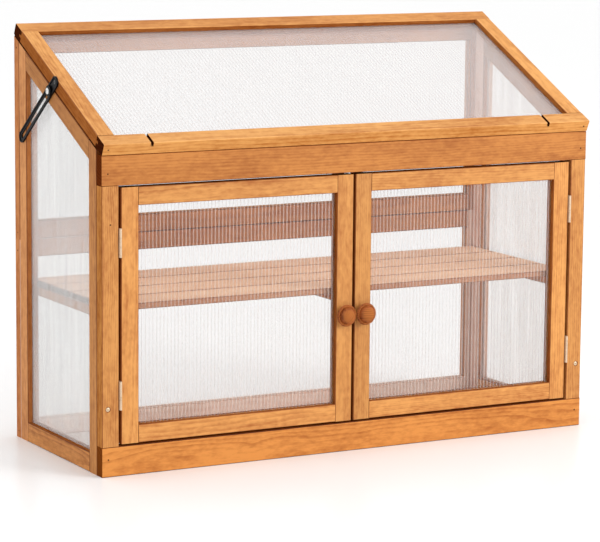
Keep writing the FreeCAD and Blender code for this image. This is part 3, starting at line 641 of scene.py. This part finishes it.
class Shape(Group):
    """A Geometry Nodes tree with named sizes and counts and a finish."""

    def __init__(self, name: str, sizes: Sequence[str], counts: Sequence[str]) -> None:
        """Opens the tree, with its inputs in metres and those in whole numbers."""
        inputs = {"Geometry": ("Geometry",), "Float": sizes, "Int": counts, "Material": ("Finish",)}
        super().__init__(name, inputs, {"Geometry": ("Geometry",)}, "GeometryNodeTree")

    def box(self, size: Socket) -> Socket:
        """A box about the origin, by its size as a vector."""
        return self.add("GeometryNodeMeshCube", {"Size": size}).outputs["Mesh"]

    def on_points(self, points: Socket, form: Socket, **settings: Value) -> Socket:
        """A form set on points, with a Rotation or a Scale where they are given."""
        return self.call("GeometryNodeInstanceOnPoints", {"Points": points, "Instance": form, **settings})

    def row(self, count: Value, pitch: Value, axis: str, size: Socket) -> Socket:
        """Boxes of one size in a row about the middle.

        Args:
            count: How many there are.
            pitch: The way from one to the next.
            axis: X, Y or Z.
            size: Their size as a vector.

        Returns:
            The instances.
        """
        half = self.times(self.minus(count, 1.0), -0.5)
        line = self.call("GeometryNodeMeshLine", {
            "Count": count, "Start Location": self.xyz(**{axis: self.times(pitch, half)}),
            "Offset": self.xyz(**{axis: pitch})}, mode="OFFSET")
        return self.on_points(line, self.box(size))

    def marked(self, shape: Socket, name: str, value: Value, kind: str = "FLOAT") -> Socket:
        """The instances with a value of their own, stored by name."""
        inputs = {"Geometry": shape, "Name": name, "Value": value}
        return self.call("GeometryNodeStoreNamedAttribute", inputs, data_type=kind, domain="INSTANCE")

    def joined(self, *shapes: Socket) -> Socket:
        """Several shapes as one."""
        join = self.add("GeometryNodeJoinGeometry")
        for shape in shapes:
            self.feed(join.inputs[0], shape)
        return join.outputs[0]

    def real(self, shape: Socket) -> Socket:
        """Instances made real."""
        return self.call("GeometryNodeRealizeInstances", {0: shape})

    def nudged(self, shape: Socket, offset: Socket) -> Socket:
        """A mesh with each point moved by its own offset."""
        return self.call("GeometryNodeSetPosition", {"Geometry": shape, "Offset": offset})

    def lifted(self, shape: Socket, rise: Socket) -> Socket:
        """A mesh moved along Z."""
        return self.call("GeometryNodeTransform", {"Geometry": shape, "Translation": self.xyz(Z=rise)})

    def random(self, seed: Value, low: float = 0.0, high: float = 1.0) -> Socket:
        """A random number for each point or instance."""
        inputs = {2: low, 3: high, "Seed": seed}
        return self.add("FunctionNodeRandomValue", inputs, data_type="FLOAT").outputs[1]

    def finished(self, shape: Socket) -> Tree:
        """Gives a real mesh its finish and ends the tree."""
        inputs = {"Geometry": shape, "Material": self.given["Finish"]}
        return self.close(Geometry=self.call("GeometryNodeSetMaterial", inputs))

    def on_spots(self, form: Socket, vary: float) -> Tree:
        """Sets a form on every spot, turned at random about its axis, and ends the tree.

        Args:
            form: The form, standing on the origin along Z.
            vary: How much its size varies.

        Returns:
            The finished tree.
        """
        given = self.given
        outward = self.call("GeometryNodeInputNamedAttribute", {"Name": "outward"}, data_type="FLOAT_VECTOR")
        align = self.call("FunctionNodeAlignRotationToVector", {"Vector": outward}, axis="Z")
        spin = self.random(given["Seed"], 0.0, 2 * math.pi)
        turn = self.call("FunctionNodeAxisAngleToRotation", {"Axis": (0.0, 0.0, 1.0), "Angle": spin})
        both = self.call("FunctionNodeRotateRotation", {0: align, 1: turn}, rotation_space="LOCAL")
        scale = self.random(self.plus(given["Seed"], 1.0), 1.0 - vary, 1.0)
        return self.finished(self.real(self.on_points(given["Geometry"], form, Rotation=both, Scale=scale)))


def bake_tree(name: str, mesh: bpy.types.Mesh, tree: Tree, values: dict[str, object]) -> Piece:
    """Runs a Geometry Nodes tree on a mesh and keeps the result as a plain mesh.

    Args:
        name: The piece's name.
        mesh: What the tree starts from.
        tree: The tree.
        values: The value of each named input, and more that it may not have.

    Returns:
        The piece.
    """
    piece = bpy.data.objects.new(name, mesh)
    bpy.context.scene.collection.objects.link(piece)
    modifier = piece.modifiers.new(tree.name, "NODES")
    modifier.node_group = tree
    for item in tree.interface.items_tree:
        if item.in_out == "INPUT" and item.name in values:
            modifier[item.identifier] = values[item.name]
    graph = bpy.context.evaluated_depsgraph_get()
    result = bpy.data.meshes.new_from_object(piece.evaluated_get(graph), depsgraph=graph)
    piece.modifiers.clear()
    piece.data = result
    result.name = name
    return piece


@dataclass
class TwinWall:
    """A twin-wall sheet: two skins and a rib between every two flutes, in the CAD sheet's outline."""

    node: str
    body: str
    across: Vector
    along: Vector
    finish: SheetFinish
    skin: float = 0.0006
    rib: float = 0.0007
    rib_pitch: float = 0.00645
    clearance: float = 0.00002
    near_edge: float = 0.001
    seed: int = 23

    @staticmethod
    @cache
    def tree() -> Tree:
        """Draws up a sheet about its middle: X across the flutes, Y along them, Z through it.

        Returns:
            The tree.
        """
        shape = Shape("twin_wall_sheet", (
            "Width", "Length", "Rise", "Thickness", "Skin", "Rib", "Rib Pitch", "Clearance"), ("Ribs", "Seed"))
        given, times, minus = shape.given, shape.times, shape.minus
        length, skin, width = given["Length"], given["Skin"], given["Width"]
        apart = minus(given["Thickness"], skin)
        skins = shape.row(2, apart, "Z", shape.xyz(X=width, Y=length, Z=skin))
        depth = minus(minus(apart, skin), given["Clearance"])
        ribs = shape.row(given["Ribs"], given["Rib Pitch"], "X", shape.xyz(X=given["Rib"], Y=length, Z=depth))
        ribs = shape.marked(shape.marked(ribs, "rib", 1.0), "tone", shape.random(given["Seed"]))
        skins = shape.marked(shape.marked(skins, "rib", 0.0), "tone", 0.5)
        sheet = shape.real(shape.joined(ribs, skins))
        place = shape.split(shape.call("GeometryNodeInputPosition"))
        share = shape.plus(shape.math("DIVIDE", place["X"], width), 0.5)
        top = shape.math("GREATER_THAN", place["Y"], 0.0)
        return shape.finished(shape.nudged(sheet, shape.xyz(Y=times(times(share, given["Rise"]), top))))

    def build(self) -> Piece:
        """The sheet in its place.

        Returns:
            The piece that stands for the CAD sheet.
        """
        axes = (self.across, self.along, self.across.cross(self.along))
        points = [tuple(point.dot(axis) for axis in axes) for point in points_of(self.node)]
        low, high = ([pick(point[axis] for point in points) for axis in range(3)] for pick in (min, max))
        near, far = (max(v for u, v, _ in points if abs(u - edge) < self.near_edge) for edge in (low[0], high[0]))
        width, length = high[0] - low[0], near - low[1]
        each_way = int((width / 2 - self.rib) / self.rib_pitch)
        name = self.node.replace("panel", "twin_wall")
        piece = bake_tree(name, bpy.data.meshes.new(name), self.tree(), traits(self) | {
            "Width": width, "Length": length, "Rise": far - near, "Thickness": high[2] - low[2],
            "Ribs": 2 * each_way + 1, "Finish": self.finish.material(self.node, self.across, self.along)})
        place = Matrix(axes).transposed().to_4x4()
        place.translation = place @ Vector(((low[0] + high[0]) / 2, low[1] + length / 2, (low[2] + high[2]) / 2))
        piece.data.transform(place)
        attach(piece, self.body)
        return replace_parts(piece, self.node)


@dataclass(frozen=True)
class Spot:
    """A place on the surface and the direction that it faces."""

    place: Vector
    outward: Vector


@dataclass(frozen=True, kw_only=True)
class Fasteners:
    """Small parts of one size on a body. The sizes and the seed are the named inputs of their tree."""

    radius: float
    finish: HardFinish
    seed: int

    def tree(self) -> Tree:
        """The tree that sets one on every spot."""
        raise NotImplementedError

    def build(self, name: str, body: str, spots: Sequence[Spot]) -> Piece:
        """Sets them on one body.

        Args:
            name: The piece's name.
            body: The body that they ride on.
            spots: Where the undersides of their heads sit.

        Returns:
            The piece.
        """
        mesh = bpy.data.meshes.new(name)
        mesh.from_pydata([spot.place for spot in spots], [], [])
        outward = mesh.attributes.new("outward", "FLOAT_VECTOR", "POINT")
        outward.data.foreach_set("vector", [number for spot in spots for number in spot.outward.normalized()])
        piece = bake_tree(name, mesh, self.tree(), traits(self) | {"Finish": self.finish.material()})
        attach(piece, body)
        return piece


@dataclass(frozen=True, kw_only=True)
class NailHeads(Fasteners):
    """Small dark heads of the pins that hold the boards together."""

    radius: float = 0.0015
    rise: float = 0.0003
    finish: HardFinish = NAIL_STEEL
    seed: int = 4

    @staticmethod
    @cache
    def tree() -> Tree:
        """A low cone with its edge turned down.

        Returns:
            The tree.
        """
        shape = Shape("nail_heads", ("Radius", "Rise"), ("Seed",))
        radius, sides, flat = shape.given["Radius"], 14, 0.72
        head = shape.add("GeometryNodeMeshCone", {
            "Vertices": sides, "Radius Top": shape.times(radius, flat), "Radius Bottom": radius,
            "Depth": shape.given["Rise"]}, fill_type="NGON")
        return shape.on_spots(head.outputs["Mesh"], vary=0.25)


@dataclass(frozen=True, kw_only=True)
class ScrewHeads(Fasteners):
    """Domed heads with a cross recess, and their shanks where they stand free."""

    height: float
    shank_radius: float
    shank: float
    finish: HardFinish = ZINC
    seed: int = 11

    @staticmethod
    @cache
    def tree() -> Tree:
        """A dome, less two crossed bars, on a round shank.

        Returns:
            The tree.
        """
        shape = Shape("screw_heads", ("Radius", "Height", "Shank Radius", "Shank"), ("Seed",))
        given, times = shape.given, shape.times
        radius, height, shank = given["Radius"], given["Height"], given["Shank"]
        head_sides, stem_sides, rings = 28, 16, 5
        rim_share, bar_long, bar_short, bar_deep, bar_level = 0.35, 1.0, 0.24, 1.2, 1.05
        rim = times(height, rim_share)
        head = shape.add("GeometryNodeMeshCylinder", {
            "Vertices": head_sides, "Side Segments": 1, "Fill Segments": rings, "Radius": radius, "Depth": rim},
            fill_type="TRIANGLE_FAN").outputs["Mesh"]
        place = shape.call("GeometryNodeInputPosition")
        share = shape.math("DIVIDE", shape.vector("LENGTH", shape.scaled(place, (1.0, 1.0, 0.0))), radius)
        swell = shape.minus(1.0, times(share, share))
        top = shape.math("GREATER_THAN", shape.split(place)["Z"], 0.0)
        lift = shape.plus(times(times(swell, top), shape.minus(height, rim)), times(rim, 0.5))
        cut = shape.add("GeometryNodeMeshBoolean", {"Mesh 1": shape.nudged(head, shape.xyz(Z=lift))},
                        operation="DIFFERENCE")
        for x, y in ((bar_long, bar_short), (bar_short, bar_long)):
            bar = shape.box(shape.xyz(X=times(radius, x), Y=times(radius, y), Z=times(height, bar_deep)))
            shape.feed(cut.inputs["Mesh 2"], shape.lifted(bar, times(height, bar_level)))
        stem = shape.add("GeometryNodeMeshCylinder", {
            "Vertices": stem_sides, "Radius": given["Shank Radius"], "Depth": shank},
            fill_type="NGON").outputs["Mesh"]
        stem = shape.lifted(stem, times(shank, -0.5))
        return shape.on_spots(shape.joined(stem, cut.outputs["Mesh"]), vary=0.0)


NAILS = NailHeads()
FRAME_SCREWS = ScrewHeads(radius=0.0034, height=0.0010, shank_radius=0.001, shank=0.0005, finish=TARNISHED)
HINGE_SCREWS = ScrewHeads(radius=0.0024, height=0.0006, shank_radius=0.001, shank=0.0005)
CATCH_SCREWS = ScrewHeads(radius=0.0017, height=0.0004, shank_radius=0.0007, shank=0.0004)


@dataclass
class Carcass:
    """The fixed box: front frame, side frames, back wall and the fittings on it."""

    nail_inset: float = 0.0105
    front_nails: tuple[tuple[str, float], ...] = (("plinth", 0.58), ("header", 0.40))
    stile_nail: float = 1.4
    stile_nail_height: float = 0.4
    back_nail_drop: float = 0.004
    wall_screw_rise: float = 0.007
    catch_screw_step: float = 0.005
    catch_screw_inset: float = 0.009
    catch_screw_drop: float = 0.006
    plinth_knot: Knot = Knot(-0.18, Vector((0.0, 0.0, 0.0)), 0.010)

    def dress(self) -> None:
        """Gives every board and fitting its finish."""
        PLINTH_AMBER.dress("plinth", Grain.ALONG_X, FORWARD, self.plinth_knot)
        RUSSET.dress("header", Grain.ALONG_X, FORWARD, tint=0.97)
        for side in Side:
            STILE_HONEY.dress(f"{side.label}_front_stile", Grain.ALONG_Z, FORWARD)
            SIDE_TAN.dress(f"{side.label}_side_front_stile", Grain.ALONG_Z, LEFT)
            SIDE_REAR.dress(f"{side.label}_side_rear_stile", Grain.ALONG_Z, LEFT * side.value)
            SIDE_TAN.dress(f"{side.label}_side_bottom_rail", Grain.ALONG_Y, LEFT, tint=1.15)
            SIDE_UMBER.dress(f"{side.label}_side_top_rail", Grain.UP_SLOPE, LEFT)
            for level, finish in (("lower", BACK_PALE), ("upper", BACK_BROWN)):
                finish.dress(f"back_{level}_{side.label}_stile", Grain.ALONG_Z, FORWARD, tint=1.08)
        for rail, finish in (("lower_bottom", BACK_PALE), ("lower_top", BACK_BROWN), ("upper_bottom", BACK_BROWN),
                             ("upper_top", BACK_BROWN)):
            finish.dress(f"back_{rail}_rail", Grain.ALONG_X, FORWARD)
        steel = HINGE_STEEL.material()
        for node in ("frame_hinge_leaves", "door_hinge_pins", "wall_hinge_leaves", "lid_hinge_pins"):
            dress(node, steel)
        dress("frame_screws", TARNISHED.material())
        dress("door_catches", BROWN_PLASTIC.material())

    def build_nails(self) -> Piece:
        """Pins in the front frame and in the outer edges of the back frames.

        Returns:
            The piece.
        """
        spots = []
        for node, share in self.front_nails:
            low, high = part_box(node)
            height = low.z + (high.z - low.z) * share
            for x in (low.x + self.nail_inset, high.x - self.nail_inset):
                spots.append(Spot(Vector((x, low.y, height)), FORWARD))
        low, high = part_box("left_front_stile")
        place = Vector((low.x + self.nail_inset * self.stile_nail, low.y, self.stile_nail_height))
        spots.append(Spot(place, FORWARD))
        for side in Side:
            for level in ("lower", "upper"):
                for rail in ("bottom", "top"):
                    middle = middle_of(f"back_{level}_{rail}_rail")
                    low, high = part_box(f"back_{level}_{side.label}_stile")
                    edge = low.x if side is Side.LEFT else high.x
                    place = Vector((edge, middle.y, middle.z - self.back_nail_drop))
                    spots.append(Spot(place, LEFT * -side.value))
        return NAILS.build("carcass_nails", "carcass", spots)

    def build_screws(self) -> list[Piece]:
        """Cross-head screws over the frame screws, in the hinge leaves and in the catches.

        Returns:
            The pieces.
        """
        front, leaves, catches = [], [], []
        leaf_low, leaf_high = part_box("wall_hinge_leaves")
        catch_low, catch_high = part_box("door_catches")
        for side in Side:
            points = [point for point in points_of("frame_screws") if point.x * side.value > 0]
            middle = sum(points, Vector()) / len(points)
            front.append(Spot(Vector((middle.x, min(point.y for point in points), middle.z)), FORWARD))
            for step in HINGE_SCREW_STEPS:
                x = side.value * LID_HINGE_OFFSET + step
                leaves.append(Spot(Vector((x, leaf_high.y, leaf_low.z + self.wall_screw_rise)), BACKWARD))
            edge = catch_low.x if side is Side.LEFT else catch_high.x
            for step in (-self.catch_screw_step, self.catch_screw_step):
                x = edge - side.value * self.catch_screw_inset + step
                catches.append(Spot(Vector((x, catch_high.y, catch_high.z - self.catch_screw_drop)), BACKWARD))
        return [FRAME_SCREWS.build("frame_screw_heads", "carcass", front),
                HINGE_SCREWS.build("wall_hinge_screws", "carcass", leaves),
                CATCH_SCREWS.build("catch_screws", "carcass", catches)]

    def build_sheets(self) -> list[Piece]:
        """The sheets in the sides and in the back wall.

        Returns:
            The pieces.
        """
        sheets = [TwinWall(f"{side.label}_side_panel", "carcass", BACKWARD, UPWARD, SIDE_SHEET) for side in Side]
        sheets += [TwinWall(f"back_{level}_panel", "carcass", RIGHT, UPWARD, BACK_SHEET)
                   for level in ("lower", "upper")]
        return [sheet.build() for sheet in sheets]

    def build(self) -> list[Piece]:
        """All pieces that the scene adds to the box."""
        return [self.build_nails(), *self.build_screws(), *self.build_sheets()]


@dataclass
class Door:
    """One glazed door with its knob."""

    side: Side
    top_tint: float = 0.92
    meeting_tints: dict[Side, float] = field(default_factory=lambda: {Side.LEFT: 0.90, Side.RIGHT: 0.84})

    @property
    def body(self) -> str:
        """The body that the door is."""
        return f"{self.side.label}_door"

    def dress(self) -> None:
        """Gives the door's boards, knob and fittings their finish."""
        for piece, grain, tint in (
                ("hinge_stile", Grain.ALONG_Z, 1.0), ("meeting_stile", Grain.ALONG_Z, self.meeting_tints[self.side]),
                ("bottom_rail", Grain.ALONG_X, 1.0), ("top_rail", Grain.ALONG_X, self.top_tint)):
            HONEY.dress(f"{self.body}_{piece}", grain, FORWARD, tint=tint)
        KNOB_BROWN.dress(f"{self.side.label}_knob", Grain.ALONG_Y, FORWARD)
        dress(f"{self.body}_hinge_leaves", HINGE_STEEL.material())
        zinc = ZINC.material()
        for node in (f"{self.side.label}_knob_screw", f"{self.side.label}_strike_plate"):
            dress(node, zinc)

    def build(self) -> list[Piece]:
        """The door's sheet."""
        return [TwinWall(f"{self.body}_panel", self.body, RIGHT, UPWARD, DOOR_SHEET).build()]


@dataclass
class Lid:
    """The sloping lid."""

    nail_inset: float = 0.009
    board: float = 0.020
    leaf: float = 0.0012
    screw_inset: float = 0.007

    def dress(self) -> None:
        """Gives the lid's boards and hinge leaves their finish."""
        LID_HONEY.dress("lid_front_rail", Grain.ALONG_X, OFF_SLOPE)
        LID_EDGED.dress("lid_back_rail", Grain.ALONG_X, OFF_SLOPE)
        for side in Side:
            LID_EDGED.dress(f"lid_{side.label}_stile", Grain.UP_SLOPE, OFF_SLOPE)
        dress("lid_hinge_leaves", HINGE_STEEL.material())

    def build_nails(self) -> Piece:
        """Pins through the ends of the front rail into the stiles.

        Returns:
            The piece.
        """
        points = points_of("lid_front_rail")
        front = min(point.dot(UP_SLOPE) for point in points)
        top = max(point.dot(OFF_SLOPE) for point in points)
        edge = UP_SLOPE * front + OFF_SLOPE * (top - self.board / 2)
        ends = (min(point.x for point in points) + self.nail_inset, max(point.x for point in points) - self.nail_inset)
        return NAILS.build("lid_nails", "lid", [Spot(edge + RIGHT * x, -UP_SLOPE) for x in ends])

    def build_screws(self) -> Piece:
        """Screws in the hinge leaves on the lid's back edge.

        Returns:
            The piece.
        """
        axis = middle_of("lid_hinge_pins")
        leaf = points_of("lid_hinge_leaves")
        face = min(point.dot(UP_SLOPE) for point in leaf) + self.leaf
        tip = max(point.dot(OFF_SLOPE) for point in leaf)
        middle = UP_SLOPE * face + OFF_SLOPE * (tip - self.screw_inset)
        spots = [Spot(middle + RIGHT * (axis.x + side.value * LID_HINGE_OFFSET + step), UP_SLOPE)
                 for side in Side for step in HINGE_SCREW_STEPS]
        return HINGE_SCREWS.build("lid_hinge_screws", "lid", spots)

    def build(self) -> list[Piece]:
        """The lid's fasteners and its sheet, whose flutes run down the slope."""
        sheet = TwinWall("lid_panel", "lid", RIGHT, UP_SLOPE, LID_SHEET)
        return [self.build_nails(), self.build_screws(), sheet.build()]


@dataclass
class Shelf:
    """Four slats on three cleats."""

    slats: int = 4
    slat: float = 0.010
    gap: float = 0.003
    eased: float = 0.0015
    nail_inset: float = 0.013
    nail_shares: tuple[float, float] = (0.25, 0.75)

    def dress(self) -> None:
        """Gives the cleats their finish."""
        BACK_BROWN.dress("shelf_cleats", Grain.ALONG_Y, UPWARD)

    @property
    def slat_width(self) -> float:
        """One slat's width."""
        low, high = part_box("shelf_slats")
        return (high.y - low.y - (self.slats - 1) * self.gap) / self.slats

    def build_slats(self) -> Piece:
        """The slats, side by side, each cut from another board.

        Returns:
            The piece that stands for the slats.
        """
        low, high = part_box("shelf_slats")
        middle = middle_of("shelf_slats")
        shape = Shape("shelf_slats", ("Length", "Width", "Thickness", "Gap"), ("Count",))
        given = shape.given
        size = shape.xyz(X=given["Length"], Y=given["Width"], Z=given["Thickness"])
        row = shape.row(given["Count"], shape.plus(given["Width"], given["Gap"]), "Y", size)
        index = shape.call("GeometryNodeInputIndex")
        slats = shape.marked(row, "slat", shape.xyz(X=index, Y=index, Z=index), "FLOAT_VECTOR")
        piece = bake_tree("shelf_boards", bpy.data.meshes.new("shelf_boards"), shape.finished(shape.real(slats)), {
            "Length": high.x - low.x, "Width": self.slat_width, "Thickness": self.slat, "Gap": self.gap,
            "Count": self.slats,
            "Finish": SHELF_PALE.on_board("shelf_boards", Grain.ALONG_X, UPWARD, middle, per_solid="slat")})
        piece.data.transform(Matrix.Translation(middle))
        edge = piece.modifiers.new("eased_edges", "BEVEL")
        edge.width = self.eased
        edge.segments = 1
        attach(piece, "carcass")
        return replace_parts(piece, "shelf_slats")

    def build_nails(self) -> Piece:
        """Two nails through each slat into each cleat.

        Returns:
            The piece.
        """
        low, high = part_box("shelf_slats")
        spots = []
        for x in (low.x + self.nail_inset, 0.0, high.x - self.nail_inset):
            for index in range(self.slats):
                start = low.y + index * (self.slat_width + self.gap)
                for share in self.nail_shares:
                    spots.append(Spot(Vector((x, start + self.slat_width * share, high.z)), UPWARD))
        return NAILS.build("shelf_nails", "carcass", spots)

    def build(self) -> list[Piece]:
        """The slats and their nails."""
        return [self.build_slats(), self.build_nails()]


@dataclass
class Stay:
    """The slotted arm on the left side with its screws."""

    clamp: ScrewHeads = ScrewHeads(radius=0.0052, height=0.0034, shank_radius=0.0023, shank=0.0)
    pivot: ScrewHeads = ScrewHeads(radius=0.0033, height=0.0015, shank_radius=0.0021, shank=0.0, finish=DULL_STEEL)

    def dress(self) -> None:
        """Gives the arm and its bush their finish."""
        dress("stay_arm", BLACK_STEEL.material())
        dress("stay_clamp_bush", BLACK_STEEL.material())

    def build(self) -> list[Piece]:
        """The clamp screw and the pivot screw, with cross recesses and shanks as long as the solids' are.

        Returns:
            The pieces that stand for the two screws.
        """
        made = []
        for node, body, screw in (("stay_clamp_screw", "carcass", self.clamp),
                                  ("stay_pivot_screw", "stay_arm", self.pivot)):
            low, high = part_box(node)
            head = Vector((low.x + screw.height, (low.y + high.y) / 2, (low.z + high.z) / 2))
            fitted = replace(screw, shank=high.x - head.x)
            piece = fitted.build(node.replace("_screw", "_cross_screw"), body, [Spot(head, LEFT)])
            made.append(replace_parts(piece, node))
        return made


@dataclass
class Studio:
    """Pale floor, soft light and the camera."""

    world_level: float = 1.03
    lamps: tuple[tuple[str, Colour, float, float], ...] = (
        ("key", (2.3, -3.2, 1.7), 1.8, 82.0), ("top", (0.2, 0.2, 3.0), 2.2, 6.0))
    aim: Colour = (0.0, 0.1, 0.3)
    see_through: int = 40
    floor_white: Colour = (0.955, 0.955, 0.955)
    floor_reach: float = 60.0
    azimuth: float = -28.6313
    dip: float = 8.9452
    roll: float = 0.5155
    focal_pixels: float = 2769.39
    frame_pixels: int = 600
    sensor: float = 36.0
    farthest: float = 200.0
    eye: Colour = (-2.21278, -3.88001, 0.99953)

    def build_floor(self) -> None:
        """A large pale floor."""
        mesh = bpy.data.meshes.new("floor")
        corners = ((-1, -1), (1, -1), (1, 1), (-1, 1))
        mesh.from_pydata([(x * self.floor_reach, y * self.floor_reach, 0) for x, y in corners], [], [(0, 1, 2, 3)])
        floor = bpy.data.objects.new("floor", mesh)
        bpy.context.scene.collection.objects.link(floor)
        surface = Surface("pale_floor")
        for label, value in (("Base Color", self.floor_white), ("Roughness", 0.26), ("Specular IOR Level", 0.06)):
            surface.feed(surface.shader.inputs[label], value)
        mesh.materials.append(surface.material)

    def build_light(self) -> None:
        """An even white surround and two soft boxes, the stronger one in front on the right."""
        scene = bpy.context.scene
        world = bpy.data.worlds.new("white_surround")
        world.use_nodes = True
        background = world.node_tree.nodes["Background"]
        background.inputs["Color"].default_value = (1.0, 1.0, 1.0, 1.0)
        background.inputs["Strength"].default_value = self.world_level
        scene.world = world
        scene.view_settings.view_transform = "Standard"
        scene.view_settings.look = "None"
        scene.cycles.transparent_max_bounces = self.see_through
        for name, place, size, power in self.lamps:
            light = bpy.data.lights.new(name, "AREA")
            light.shape = "SQUARE"
            light.size = size
            light.energy = power
            lamp = bpy.data.objects.new(name, light)
            lamp.location = place
            lamp.rotation_euler = (Vector(self.aim) - Vector(place)).to_track_quat("-Z", "Y").to_euler()
            scene.collection.objects.link(lamp)

    def build_camera(self) -> None:
        """The camera, at the place and angle fitted to the boards' corners."""
        data = bpy.data.cameras.new("camera")
        data.sensor_fit = "HORIZONTAL"
        data.sensor_width = self.sensor
        data.lens = self.focal_pixels / self.frame_pixels * self.sensor
        data.clip_end = self.farthest
        camera = bpy.data.objects.new("camera", data)
        bpy.context.scene.collection.objects.link(camera)
        turn, dip, roll = (math.radians(angle) for angle in (self.azimuth, self.dip, self.roll))
        forward = Vector((math.sin(-turn) * math.cos(dip), math.cos(turn) * math.cos(dip), -math.sin(dip)))
        level = Vector((math.cos(turn), math.sin(turn), 0.0))
        upright = level.cross(forward)
        right = level * math.cos(roll) + upright * math.sin(roll)
        up = upright * math.cos(roll) - level * math.sin(roll)
        pose = Matrix((right, up, -forward)).transposed().to_4x4()
        pose.translation = self.eye
        camera.matrix_world = pose
        bpy.context.scene.camera = camera


def main() -> None:
    """Builds the sub-assemblies in order and reports them."""
    logging.basicConfig(level=logging.INFO, format="%(name)s: %(message)s")
    for part in (Carcass(), Door(Side.LEFT), Door(Side.RIGHT), Lid(), Shelf(), Stay()):
        part.dress()
        for piece in part.build():
            LOG.info("%s: %d faces", piece.name, len(piece.data.polygons))
    studio = Studio()
    studio.build_floor()
    studio.build_light()
    studio.build_camera()


if __name__ == "__main__":
    main()
